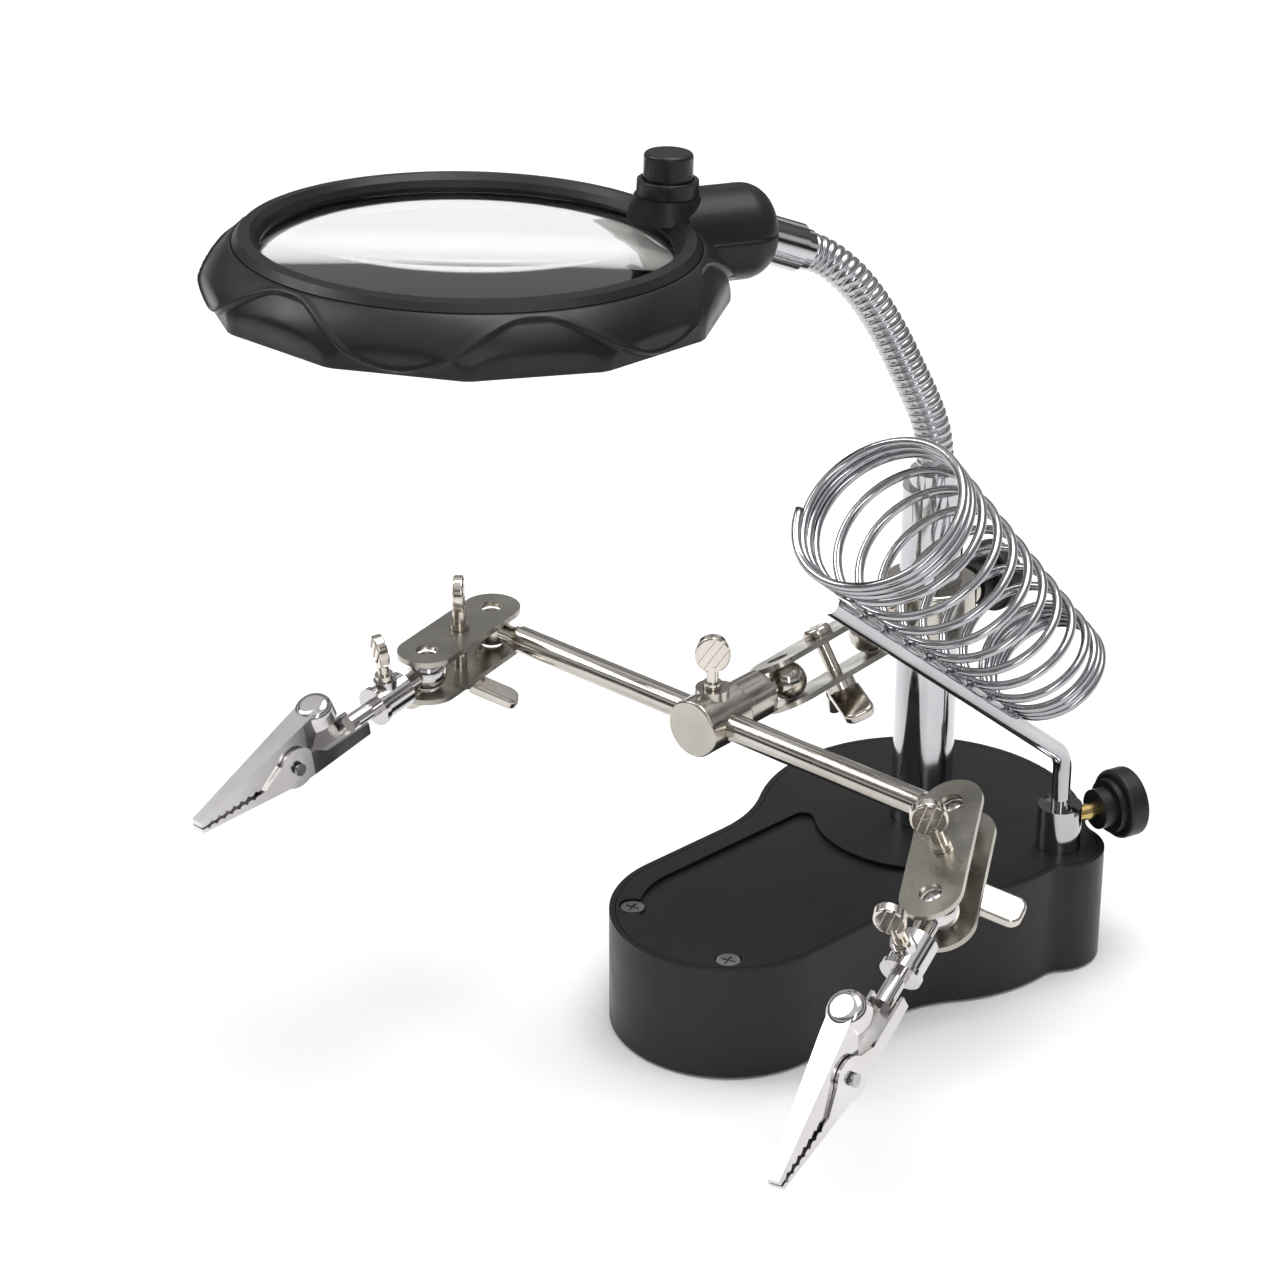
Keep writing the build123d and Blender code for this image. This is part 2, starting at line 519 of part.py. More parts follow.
def make_head():
    at = frame_at(HEAD_AT, HEAD_FWD, HEAD_UP)
    rim = ring([(GLASS_R, -2.6), (GLASS_R + 0.8, -1.2), (44.0, 0.0), (46.4, -0.3), (RIM_R, -1.8),
                (RIM_R, SPLIT_Z), (LENS_R + 0.1, SPLIT_Z), (LENS_R + 0.1, -3.4), (GLASS_R, -3.4)])
    skirt = ring([(RIM_R, SPLIT_Z), (50.4, -5.4), (53.0, -7.4), (SKIRT_R, -10.4), (SKIRT_R, -SKIRT_H),
                  (SKIRT_R - 2, -SKIRT_H), (SKIRT_R - 2.2, -11.4), (50.9, -9.8), (48.0, -9.2),
                  (41.6, -9.2), (41.6, -8.0), (LENS_R + 0.1, -8.0), (LENS_R + 0.1, SPLIT_Z)])
    facet_at = SKIRT_R - 1.1
    for k in range(6):
        cut = Pos(facet_at + 10, 0, -16.4) * Rot(0, 14, 0) * Box(20, 60, 18)
        skirt -= Rot(0, 0, FACET_TURN + 60 * k) * cut
    half = handle_solid(0) - handle_solid(2.0) - rod(RIM_R - 1.0, 60, (0, 0, -40))
    wire_hole = rod(FERRULE_R + 0.05, 30, tuple(FERRULE_ROOT), tuple(FERRULE_DIR))
    upper_half = half & box(30, 90, -20, 20, SPLIT_Z, 20)
    lower_half = half & box(30, 90, -20, 20, -40, SPLIT_Z - 0.1)
    flare = Pos(BUTTON_X, 0, BOSS_TOP - 3.4) * Cone(8.4, 7.0, 4.8)
    upper = rim + (upper_half - wire_hole) + flare
    upper -= rod(6.6, 30, (BUTTON_X, 0, BOSS_TOP - 1.0))
    upper -= rod(5.45, 30, (BUTTON_X, 0, BOSS_TOP - 3.4)) + rod(1.3, 6, (RIM_R + 1.5, 0, -2.1))
    put("head_upper_shell", at * clean_solid(upper))
    lower = skirt + (lower_half - wire_hole)
    for y in (-HEAD_SCREW_Y, HEAD_SCREW_Y):
        lower += rod(2.8, 8.6, (HEAD_SCREW_X, y, -13.8))
        lower -= rod(1.35, 20, (HEAD_SCREW_X, y, -20)) + rod(2.4, 7, (HEAD_SCREW_X, y, -20))
    put("head_lower_shell", at * clean_solid(lower))

    put("main_lens", at * Pos(0, 0, -5.7) * lens(LENS_R, 3.6, 1.5))
    put("bifocal_lens", at * Pos(*BIFOCAL_XY, -10.6) * lens(BIFOCAL_R, 1.4, 0.5))

    bezel = tube(6.5, 5.45, 3.4, (BUTTON_X, 0, BOSS_TOP - 1.0 + 0.02))
    put("switch_bezel", at * fillet(bezel.edges().filter_by(GeomType.CIRCLE).sort_by(Axis.Z)[-2:-1], 0.4))
    cap = rod(5.2, 9.2, (BUTTON_X, 0, 3.4))
    put("push_button", at * fillet(cap.edges().sort_by(Axis.Z)[-1], 0.9))
    switch = box(RIM_R + 0.4, RIM_R + 6.0, -3.5, 3.5, -4.7, -2.2) + rod(1.0, 5.0, (RIM_R + 1.5, 0, -3.2))
    put("switch_body", at * switch)

    lamps = [at * box(35.0, 41.0, -16, 16, -10.4, -9.5)]
    for y in (-11, 0, 11):
        lamps.append(at * (rod(1.5, 1.9, (38.0, y, -12.3)) + Pos(38.0, y, -12.3) * Sphere(1.5)))
    put("led_board", Compound(children=lamps))
    screws = []
    for y in (-HEAD_SCREW_Y, HEAD_SCREW_Y):
        screws.append(at * (rod(1.25, 8.4, (HEAD_SCREW_X, y, -13.8)) + rod(2.2, 1.0, (HEAD_SCREW_X, y, -14.4))))
    put("head_screws", Compound(children=screws))
    return at


def clean_solid(shape):
    """Keeps the largest solid when a cut leaves crumbs."""
    solids = sorted(shape.solids(), key=lambda s: s.volume)
    return solids[-1]


def lens(radius, sag, edge):
    """A round biconvex lens about z = 0: a disc trimmed by two large balls."""
    ball_r = (radius ** 2 + (sag - edge) ** 2) / (2 * (sag - edge))
    disc = rod(radius, 2 * sag + 1, (0, 0, -sag - 0.5))
    return disc & Pos(0, 0, sag - ball_r) * Sphere(ball_r) & Pos(0, 0, ball_r - sag) * Sphere(ball_r)


# ---------------------------------------------------------------- gooseneck
def make_gooseneck(head):
    root = (head * Pos(*tuple(FERRULE_ROOT))).position
    tip_local = FERRULE_ROOT + FERRULE_DIR * FERRULE_REACH
    tip = (head * Pos(*tuple(tip_local))).position
    out = (tip - root).normalized()
    start = root + out * 1.0
    sleeve = rod(FERRULE_R, FERRULE_REACH - 3.4, tuple(start), tuple(out))
    sleeve += rod(FERRULE_R - 0.8, FERRULE_REACH - 1.0, tuple(start), tuple(out))
    sleeve -= rod(HOSE_R + 0.03, 9.0, tuple(tip - out * 8.0), tuple(out))
    put("upper_ferrule", sleeve)
    foot = Vector(0, 0, POST_TOP)
    seat = rod(POST_R - 1.35, 12, (0, 0, POST_TOP - 12)) + rod(5.4, HOSE_FOOT - POST_TOP, tuple(foot))
    seat -= rod(HOSE_R + 0.03, 30, (0, 0, POST_TOP - 8))
    put("lower_ferrule", seat)
    first = Vector(0, 0, POST_TOP - 6.0)
    rise = Vector(0, 0, HOSE_FOOT + 2.0)
    mouth = tip + out * 1.0
    bend = Spline(*[tuple(p) for p in (rise, Vector(*NECK_A), Vector(*NECK_B), mouth)],
                  tangents=[(0, 0, 1), tuple(-out)])
    path = Line(tuple(first), tuple(rise)) + bend + Line(tuple(mouth), tuple(tip - out * 7.0))
    ring_face = Circle(HOSE_R) - Circle(HOSE_BORE)
    at = Plane(origin=first, z_dir=(0, 0, 1))
    put("gooseneck_hose", sweep(at * ring_face, path=path))


make_base()
make_post()
make_arm()
make_rest()
make_gooseneck(make_head())

os.makedirs("parts", exist_ok=True)
for name, shape in parts.items():
    export_step(shape, f"parts/{name}.step")
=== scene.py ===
import json
import math
import bpy
import bmesh
from mathutils import Matrix, Vector


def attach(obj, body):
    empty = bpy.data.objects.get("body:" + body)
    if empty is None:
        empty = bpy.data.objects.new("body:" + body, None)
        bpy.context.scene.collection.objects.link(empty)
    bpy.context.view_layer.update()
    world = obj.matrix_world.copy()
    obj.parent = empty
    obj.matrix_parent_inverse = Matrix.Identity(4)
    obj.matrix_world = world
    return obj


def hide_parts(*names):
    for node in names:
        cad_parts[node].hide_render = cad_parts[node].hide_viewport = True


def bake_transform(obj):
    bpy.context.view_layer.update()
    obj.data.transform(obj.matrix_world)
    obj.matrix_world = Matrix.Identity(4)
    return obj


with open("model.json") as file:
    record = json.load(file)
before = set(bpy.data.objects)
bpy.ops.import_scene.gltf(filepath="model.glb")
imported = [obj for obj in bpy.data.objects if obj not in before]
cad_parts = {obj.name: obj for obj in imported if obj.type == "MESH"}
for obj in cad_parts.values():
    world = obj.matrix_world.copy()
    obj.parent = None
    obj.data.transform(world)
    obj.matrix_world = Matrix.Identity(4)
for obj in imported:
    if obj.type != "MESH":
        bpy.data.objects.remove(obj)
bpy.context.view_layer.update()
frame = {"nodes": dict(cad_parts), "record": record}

NODES = frame["nodes"]
MM = 0.001

# Lengths below are in millimetres unless a name or a comment says otherwise.
# The head's own frame: origin at the rim's centre, X along the handle, Z out of the lens.
HEAD_AT = Vector((-44.8, -93.8, 180.0)) * MM
HEAD_X = Vector((0.30, 0.952, -0.054)).normalized()
HEAD_UP = Vector((-0.027, 0.065, 0.9975))
LENS_R = 44.5
RIM_R = 47.6
SPLIT_Z = -5.0

# The head's skirt: a bulging wall with flats low down and one wave ridge round it.
SKIRT_R = 54.6
SKIRT_H = 13.4
SKIRT_TOP_R = 48.0
SKIRT_TOP_Z = -1.9
SKIRT_FLATS = 12
SKIRT_AROUND = 540
SKIRT_DOWN = 46
WAVES = 6
WAVE_Z = -7.0
WAVE_HEIGHT = 5.1
CREST_AT = math.radians(-38)
STEP_DEPTH = 0.85
RIDGE_HEIGHT = 0.55
RIDGE_WIDTH = 0.5
# Radius and height of the skirt's inside, from its lower edge up to the rim.
SKIRT_INSIDE = [
    (50.3, -10.0), (47.0, -9.4), (41.8, -9.3), (41.7, -8.1), (LENS_R + 0.15, -8.0),
    (LENS_R + 0.15, SPLIT_Z - 0.1), (RIM_R + 0.1, SPLIT_Z - 0.1), (RIM_R + 0.1, -2.0),
]
REFLECTOR_PROFILE = [(41.9, -9.5), (49.6, -12.9), (49.2, -13.1), (41.4, -9.7)]
REFLECTOR_AROUND = 180

# The handle's lower shell.
HANDLE_R = 10.2
HANDLE_Z = -6.0
HANDLE_START = 50.0
HANDLE_END = 68.5
HANDLE_DOME = 7.0
HANDLE_SEAM = SPLIT_Z - 0.12
BAR_RINGS = 8
DOME_RINGS = 18
HANDLE_SIDES = 32

# The lenses.
LENS_SIDES = 160
LENS_STEPS = 40
LENS_CHAMFER = 0.12

# The gooseneck's centre line runs through these points.
FERRULE_ROOT = Vector((60.0, 0.0, -5.3))
FERRULE_DIR = Vector((0.94, 0.0, -0.34)).normalized()
FERRULE_REACH = 19.2
POST_TOP = 110.0
HOSE_FOOT = 116.0
NECK_A = Vector((-5.6, -5.2, 139.0))
NECK_B = Vector((-14.2, -12.6, 157.0))
NECK_WAY_B = Vector((-0.55, -0.48, 0.75)).normalized()
HOSE_R = 4.1
HOSE_SIDES = 40
RIDGE_PITCH = 1.8
RIDGE_STEPS = 10
RIDGE_DEPTH = 0.42

# The iron rest's coil. Each span is a number of turns and its share of the coil's length.
COIL_MOUTH = Vector((30.5, -50.8, 129.9))
COIL_SMALL = Vector((30.5, 6.4, 73.6))
COIL_SPANS = [(3.0, 0.085), (8.0, 0.83), (3.0, 0.085)]
COIL_STEPS = 64
COIL_FIRST = math.radians(200)
RING_TILT = math.radians(53)
COIL_R_MOUTH = 18.1
COIL_R_SMALL = 12.2
WIRE_R = 1.0
WIRE_SIDES = 14

# The studio, in metres and watts. Each light has a name, place, target, size and power.
FLOOR_HALF = 3.0
LIGHTS = [
    ("key", (-0.95, -0.75, 1.2), (0, -0.04, 0.08), (0.55, 0.8), 8.5),
    ("fill", (1.0, -0.75, 0.75), (0, 0, 0.1), (0.25, 0.9), 3),
    ("top", (0.05, 0.25, 1.5), (0, -0.03, 0.0), (1.0, 0.8), 15),
]
# Brightness of the room from straight down, 0, to straight up, 1.
WORLD_STOPS = (
    (0.0, 0.75), (0.47, 0.75), (0.5, 0.05), (0.59, 0.03), (0.64, 0.7),
    (0.70, 0.75), (0.74, 0.08), (0.80, 0.2), (0.86, 0.9), (1.0, 0.9),
)
CAMERA_AT = Vector((0.4798, -0.5349, 0.4323))
CAMERA_RIGHT = Vector((0.68, 0.7333, 0.0))
CAMERA_UP = Vector((-0.3283, 0.3045, 0.8942))
CAMERA_BACK = Vector((0.6556, -0.608, 0.4478))
CAMERA_LENS = 102.08

# Noise values outside this range are rare, so colour and gloss are spread over it.
NOISE_LOW = 0.3
NOISE_HIGH = 0.7


# ------------------------------------------------------------------ materials
def new_material(name):
    mat = bpy.data.materials.new(name)
    mat.use_nodes = True
    tree = mat.node_tree
    shader = tree.nodes["Principled BSDF"]
    return mat, tree, shader


def noise(tree, scale, detail=3.0, stretch=(1, 1, 1)):
    """Noise in the part's own coordinates, in metres; scale is features per metre."""
    coord = tree.nodes.new("ShaderNodeTexCoord")
    mapping = tree.nodes.new("ShaderNodeMapping")
    mapping.inputs["Scale"].default_value = stretch
    texture = tree.nodes.new("ShaderNodeTexNoise")
    texture.inputs["Scale"].default_value = scale
    texture.inputs["Detail"].default_value = detail
    tree.links.new(coord.outputs["Object"], mapping.inputs["Vector"])
    tree.links.new(mapping.outputs["Vector"], texture.inputs["Vector"])
    return texture.outputs["Fac"]


def spread(tree, value, low, high):
    """Maps a noise value onto low to high."""
    mapped = tree.nodes.new("ShaderNodeMapRange")
    mapped.inputs["From Min"].default_value = NOISE_LOW
    mapped.inputs["From Max"].default_value = NOISE_HIGH
    mapped.inputs["To Min"].default_value = low
    mapped.inputs["To Max"].default_value = high
    tree.links.new(value, mapped.inputs["Value"])
    return mapped.outputs["Result"]


def tint(tree, value, dark, light):
    """Maps a noise value onto a blend of two colours."""
    ramp = tree.nodes.new("ShaderNodeValToRGB")
    ramp.color_ramp.elements[0].position = NOISE_LOW
    ramp.color_ramp.elements[0].color = (*dark, 1)
    ramp.color_ramp.elements[1].position = NOISE_HIGH
    ramp.color_ramp.elements[1].color = (*light, 1)
    tree.links.new(value, ramp.inputs["Fac"])
    return ramp.outputs["Color"]


def bump(tree, shader, height, distance, strength):
    node = tree.nodes.new("ShaderNodeBump")
    node.inputs["Strength"].default_value = strength
    node.inputs["Distance"].default_value = distance
    tree.links.new(height, node.inputs["Height"])
    tree.links.new(node.outputs["Normal"], shader.inputs["Normal"])


def finish(name, dark, light, rough, metal, grain, depth, strength,
           patch=45.0, stretch=(1, 1, 1), shine=0.5):
    """A surface whose colour and gloss vary in soft patches, with a fine grain in relief."""
    mat, tree, shader = new_material(name)
    shader.inputs["Metallic"].default_value = metal
    shader.inputs["Specular IOR Level"].default_value = shine
    patches = noise(tree, patch, 4.0)
    tree.links.new(tint(tree, patches, dark, light), shader.inputs["Base Color"])
    gloss = noise(tree, patch * 2.7, 5.0)
    tree.links.new(spread(tree, gloss, *rough), shader.inputs["Roughness"])
    bump(tree, shader, noise(tree, grain, 2.0, stretch), depth, strength)
    return mat


def clear(name, colour, rough, ior):
    """A clear plastic with very slight waves."""
    mat, tree, shader = new_material(name)
    shader.inputs["Base Color"].default_value = (*colour, 1)
    shader.inputs["Transmission Weight"].default_value = 1.0
    shader.inputs["IOR"].default_value = ior
    tree.links.new(spread(tree, noise(tree, 60.0), 0.0, rough), shader.inputs["Roughness"])
    bump(tree, shader, noise(tree, 90.0), 0.00002, 0.05)
    return mat


def banded(name, dark, light, rough, axis, pitch, depth):
    """Metal with fine parallel marks across one axis, such as a machined or pressed face."""
    stretch = tuple(1.0 if i == axis else 0.04 for i in range(3))
    return finish(name, dark, light, rough, 1.0, 1.0 / (pitch * MM), depth, 0.25, 60.0, stretch)


# finish: name, dark colour, light colour, roughness range, metallic, grain per metre,
# grain depth in metres, grain strength.
# banded: name, dark colour, light colour, roughness range, axis, pitch, depth in metres.
PLASTIC_SHINE = 0.34
MATERIALS = {
    "black": finish(
        "black_satin", (0.004, 0.004, 0.0048), (0.0085, 0.0085, 0.0095), (0.33, 0.44),
        0, 2600, 0.00008, 0.10, shine=PLASTIC_SHINE),
    "knob_black": finish(
        "knob_black", (0.008, 0.008, 0.008), (0.013, 0.013, 0.013), (0.36, 0.5),
        0, 1800, 0.0001, 0.14, shine=PLASTIC_SHINE),
    "button_black": finish(
        "button_black", (0.005, 0.005, 0.006), (0.011, 0.011, 0.013), (0.28, 0.4),
        0, 2200, 0.0001, 0.1, shine=PLASTIC_SHINE),
    "screw_steel": finish(
        "screw_steel", (0.20, 0.20, 0.20), (0.34, 0.34, 0.35), (0.3, 0.5),
        1, 900, 0.0001, 0.2),
    "rubber": finish(
        "rubber", (0.012, 0.012, 0.012), (0.022, 0.021, 0.02), (0.75, 0.9),
        0, 1500, 0.0002, 0.3),
    "iron": finish(
        "raw_iron", (0.05, 0.05, 0.055), (0.12, 0.115, 0.11), (0.6, 0.8),
        1, 600, 0.0004, 0.5),
    "cell": finish(
        "cell_sleeve", (0.05, 0.06, 0.08), (0.08, 0.09, 0.11), (0.25, 0.35),
        0.3, 700, 0.0001, 0.1),
    "contact_nickel": banded(
        "contact_nickel", (0.5, 0.48, 0.44), (0.62, 0.6, 0.56), (0.25, 0.4),
        0, 0.4, 0.0001),
    "post_chrome": finish(
        "post_chrome", (0.44, 0.445, 0.46), (0.56, 0.56, 0.575), (0.05, 0.12),
        1, 500, 0.00004, 0.06),
    "socket_chrome": finish(
        "socket_chrome", (0.42, 0.42, 0.435), (0.54, 0.54, 0.555), (0.07, 0.15),
        1, 600, 0.00004, 0.08),
    "coil_chrome": finish(
        "coil_chrome", (0.34, 0.345, 0.36), (0.48, 0.48, 0.495), (0.06, 0.14),
        1, 600, 0.00005, 0.08),
    "hose_chrome": finish(
        "hose_chrome", (0.38, 0.385, 0.40), (0.52, 0.52, 0.535), (0.12, 0.24),
        1, 900, 0.00005, 0.1),
    "collar_nickel": banded(
        "collar_nickel", (0.40, 0.37, 0.33), (0.56, 0.53, 0.48), (0.12, 0.26),
        2, 0.5, 0.00006),
    "ball_nickel": finish(
        "ball_nickel", (0.42, 0.39, 0.35), (0.58, 0.55, 0.51), (0.08, 0.2),
        1, 700, 0.00006, 0.1),
    "plate_nickel": finish(
        "plate_nickel", (0.30, 0.285, 0.25), (0.47, 0.45, 0.40), (0.2, 0.38),
        1, 800, 0.0001, 0.16),
    "spade_nickel": banded(
        "spade_nickel", (0.48, 0.43, 0.38), (0.66, 0.62, 0.57), (0.1, 0.2),
        2, 0.9, 0.0002),
    "wing_nickel": finish(
        "wing_nickel", (0.44, 0.40, 0.36), (0.62, 0.58, 0.54), (0.1, 0.22),
        1, 500, 0.0001, 0.12),
    "barrel_nickel": finish(
        "barrel_nickel", (0.48, 0.46, 0.46), (0.64, 0.62, 0.62), (0.06, 0.16),
        1, 600, 0.00005, 0.1),
    "clip_nickel": finish(
        "clip_nickel", (0.50, 0.48, 0.47), (0.66, 0.64, 0.64), (0.1, 0.24),
        1, 500, 0.00008, 0.12),
    "pin_steel": finish(
        "pin_steel", (0.32, 0.32, 0.32), (0.46, 0.46, 0.46), (0.2, 0.35),
        1, 900, 0.0001, 0.15),
    "brass": finish(
        "brass", (0.50, 0.36, 0.13), (0.68, 0.50, 0.22), (0.16, 0.3),
        1, 900, 0.0001, 0.15),
    "board": finish(
        "lamp_board", (0.62, 0.64, 0.58), (0.75, 0.76, 0.70), (0.3, 0.45),
        0, 900, 0.0001, 0.1),
    "lens": clear("lens_clear", (0.985, 0.99, 0.995), 0.01, 1.46),
    "bifocal": clear("bifocal_clear", (0.96, 0.97, 0.975), 0.03, 1.49),
}

# Slots whose CAD pieces get softened edges, with the width of the bevel.
SOFTENED = {"plate_nickel": 0.18, "barrel_nickel": 0.12, "socket_chrome": 0.15}
SHARP_ANGLE = math.radians(35)


def paint(obj, slot):
    if obj.material_slots:
        for place in obj.material_slots:
            place.material = MATERIALS[slot]
    else:
        obj.data.materials.append(MATERIALS[slot])


def soften(obj, width):
    """Breaks the sharp edges of a CAD piece so that they catch light."""
    edge = obj.modifiers.new("edge", "BEVEL")
    edge.width = width * MM
    edge.segments = 2
    edge.limit_method = "ANGLE"
    edge.angle_limit = SHARP_ANGLE
    edge.harden_normals = False


# ------------------------------------------------------------------ mesh helpers
def add_piece(name, slot, vertices, faces, body=None):
    mesh = bpy.data.meshes.new(name)
    mesh.from_pydata([tuple(v) for v in vertices], [], faces)
    mesh.validate()
    mesh.materials.append(MATERIALS[slot])
    shape = bmesh.new()
    shape.from_mesh(mesh)
    bmesh.ops.recalc_face_normals(shape, faces=shape.faces)
    shape.to_mesh(mesh)
    shape.free()
    for face in mesh.polygons:
        face.use_smooth = True
    obj = bpy.data.objects.new(name, mesh)
    bpy.context.scene.collection.objects.link(obj)
    if body:
        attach(obj, body)
    return obj


def loft(rings, join_ends=False):
    """Vertices and faces of a skin over closed rings with the same number of points.

    The skin either joins its last ring to its first or has a cap at each end.
    """
    count = len(rings[0])
    vertices = [v for ring in rings for v in ring]
    faces = []
    last = len(rings) if join_ends else len(rings) - 1
    for i in range(last):
        a, b = i * count, ((i + 1) % len(rings)) * count
        for k in range(count):
            n = (k + 1) % count
            faces.append((a + k, a + n, b + n, b + k))
    if not join_ends:
        faces.append(tuple(range(count))[::-1])
        faces.append(tuple(range((len(rings) - 1) * count, len(rings) * count)))
    return vertices, faces


def tube_rings(points, radii, sides):
    """Rings round a line of points, carried along without twist."""
    rings = []
    heading = (points[1] - points[0]).normalized()
    across = heading.orthogonal().normalized()
    for i, point in enumerate(points):
        ahead = points[min(i + 1, len(points) - 1)] - points[max(i - 1, 0)]
        turn = heading.rotation_difference(ahead.normalized())
        across = turn @ across
        heading = ahead.normalized()
        side = heading.cross(across)
        ring = []
        for k in range(sides):
            a = 2 * math.pi * k / sides
            ring.append(point + (across * math.cos(a) + side * math.sin(a)) * radii[i])
        rings.append(ring)
    return rings


def head_frame():
    up = (HEAD_UP - HEAD_X * HEAD_X.dot(HEAD_UP)).normalized()
    side = up.cross(HEAD_X)
    turn = Matrix((HEAD_X, side, up)).transposed()
    return Matrix.Translation(HEAD_AT) @ turn.to_4x4() @ Matrix.Scale(MM, 4)


HEAD = head_frame()


def head_ring(profile, angle):
    """A profile of radii and heights, stood up at one angle round the head's axis."""
    return [HEAD @ Vector((r * math.cos(angle), r * math.sin(angle), z)) for r, z in profile]


# ------------------------------------------------------------------ magnifier
def smooth_step(low, high, value):
    t = min(1.0, max(0.0, (value - low) / (high - low)))
    return t * t * (3 - 2 * t)


def facet(angle):
    """How far a regular polygon's flat lies inside its corner circle, as a factor."""
    step = 2 * math.pi / SKIRT_FLATS
    local = (angle - CREST_AT + step / 2) % step - step / 2
    return math.cos(step / 2) / math.cos(local)


def skirt_point(angle, t):
    """A point of the skirt's outside: t runs from the rim, 0, to the lower edge, 1."""
    z = SKIRT_TOP_Z - (SKIRT_H + SKIRT_TOP_Z) * t
    swell = math.sin(min(1.0, t * 1.12) * math.pi / 2) ** 0.85
    bulge = SKIRT_TOP_R + (SKIRT_R - SKIRT_TOP_R) * swell
    edge = SKIRT_R * facet(angle) + 0.25
    r = bulge + (min(bulge, edge) - bulge) * smooth_step(0.30, 0.95, t)
    wave = WAVE_Z + WAVE_HEIGHT * math.cos(WAVES * (angle - CREST_AT))
    below = wave - z
    r -= STEP_DEPTH * smooth_step(0.0, 1.1, below) * smooth_step(0.02, 0.16, t)
    ridge = math.exp(-((below - 0.1) / RIDGE_WIDTH) ** 2)
    r += RIDGE_HEIGHT * ridge * smooth_step(0.02, 0.12, t)
    return r, z


def make_skirt():
    """The head's lower shell, outside and inside, without the handle."""
    rings = []
    for i in range(SKIRT_AROUND):
        angle = 2 * math.pi * i / SKIRT_AROUND
        profile = [skirt_point(angle, k / SKIRT_DOWN) for k in range(SKIRT_DOWN + 1)]
        r_low, z_low = profile[-1]
        profile += [(r_low - 0.5, z_low - 0.25), (r_low - 1.8, z_low - 0.2), (r_low - 2.6, z_low + 0.6)]
        rings.append(head_ring(profile + SKIRT_INSIDE, angle))
    vertices, faces = loft(rings, join_ends=True)
    return add_piece("head_skirt", "black", vertices, faces, "head")


def make_reflector():
    """The pale cone under the lens that throws the lamps' light down."""
    rings = []
    for i in range(REFLECTOR_AROUND):
        rings.append(head_ring(REFLECTOR_PROFILE, 2 * math.pi * i / REFLECTOR_AROUND))
    vertices, faces = loft(rings, join_ends=True)
    return add_piece("lamp_reflector", "board", vertices, faces, "head")


def make_handle_bottom():
    """The handle's lower shell: half a round bar with a domed end, flat on top at the seam."""
    dome_start = HANDLE_END - HANDLE_DOME
    rings = []
    for k in range(BAR_RINGS + DOME_RINGS):
        if k < BAR_RINGS:
            x = HANDLE_START + (dome_start - HANDLE_START) * k / (BAR_RINGS - 1)
            r = HANDLE_R
        else:
            a = (k - BAR_RINGS + 1) / DOME_RINGS * math.pi / 2
            x = dome_start + HANDLE_DOME * math.sin(a)
            r = HANDLE_R - HANDLE_DOME * (1 - math.cos(a)) * 0.9
        half = math.asin(min(1.0, (HANDLE_SEAM - HANDLE_Z) / r))
        ring = []
        for n in range(HANDLE_SIDES + 1):
            a = math.pi - half + (math.pi + 2 * half) * n / HANDLE_SIDES
            ring.append(HEAD @ Vector((x, r * math.cos(a), HANDLE_Z + r * math.sin(a))))
        rings.append(ring)
    vertices, faces = loft(rings)
    return add_piece("handle_bottom", "black", vertices, faces, "head")


def make_lens(name, slot, node, radius, sag, edge, centre):
    """A ground lens: two shallow domes that meet at a thin edge with a small chamfer."""
    ball = (radius ** 2 + (sag - edge) ** 2) / (2 * (sag - edge))
    dome = []
    for k in range(1, LENS_STEPS + 1):
        r = radius * k / LENS_STEPS
        dome.append((r, sag - ball + math.sqrt(ball ** 2 - r ** 2)))
    profile = list(dome)
    profile[-1] = (radius - LENS_CHAMFER, edge)
    profile += [(radius, edge - LENS_CHAMFER), (radius, -edge + LENS_CHAMFER)]
    profile += [(radius - LENS_CHAMFER, -edge)]
    profile += [(r, -z) for r, z in reversed(dome[:-1])]
    middle = Vector(centre)
    vertices = [HEAD @ (middle + Vector((0, 0, sag)))]
    for r, z in profile:
        for s in range(LENS_SIDES):
            a = 2 * math.pi * s / LENS_SIDES
            vertices.append(HEAD @ (middle + Vector((r * math.cos(a), r * math.sin(a), z))))
    vertices.append(HEAD @ (middle + Vector((0, 0, -sag))))
    faces = []
    for s in range(LENS_SIDES):
        n = (s + 1) % LENS_SIDES
        faces.append((0, 1 + s, 1 + n))
        for ring in range(len(profile) - 1):
            a, b = 1 + ring * LENS_SIDES, 1 + (ring + 1) * LENS_SIDES
            faces.append((a + s, b + s, b + n, a + n))
        end = 1 + (len(profile) - 1) * LENS_SIDES
        faces.append((end + s, len(vertices) - 1, end + n))
    lens = add_piece(name, slot, vertices, faces, "head")
    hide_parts(node)


# ------------------------------------------------------------------ gooseneck
def bezier(p0, p1, p2, p3, count):
    out = []
    for k in range(count):
        t = k / count
        s = 1 - t
        out.append(p0 * s ** 3 + p1 * 3 * s * s * t + p2 * 3 * s * t * t + p3 * t ** 3)
    return out


def neck_line():
    """Centre line of the hose, from inside the post to inside the head's ferrule."""
    to_mm = Matrix.Scale(1 / MM, 4)
    root = to_mm @ (HEAD @ FERRULE_ROOT)
    tip = to_mm @ (HEAD @ (FERRULE_ROOT + FERRULE_DIR * FERRULE_REACH))
    out = (tip - root).normalized()
    foot, mouth = Vector((0, 0, HOSE_FOOT)), tip + out * 1.0
    way_a = (NECK_B - foot).normalized()
    way_b = NECK_WAY_B
    line = [Vector((0, 0, z)) for z in range(int(POST_TOP) - 6, int(HOSE_FOOT))]
    line += bezier(foot, foot + Vector((0, 0, 9)), NECK_A - way_a * 7, NECK_A, 30)
    line += bezier(NECK_A, NECK_A + way_a * 6, NECK_B - way_b * 6, NECK_B, 26)
    line += bezier(NECK_B, NECK_B + way_b * 4.5, mouth + out * 4.0, mouth, 26)
    line += [mouth, tip - out * 6.0]
    return line


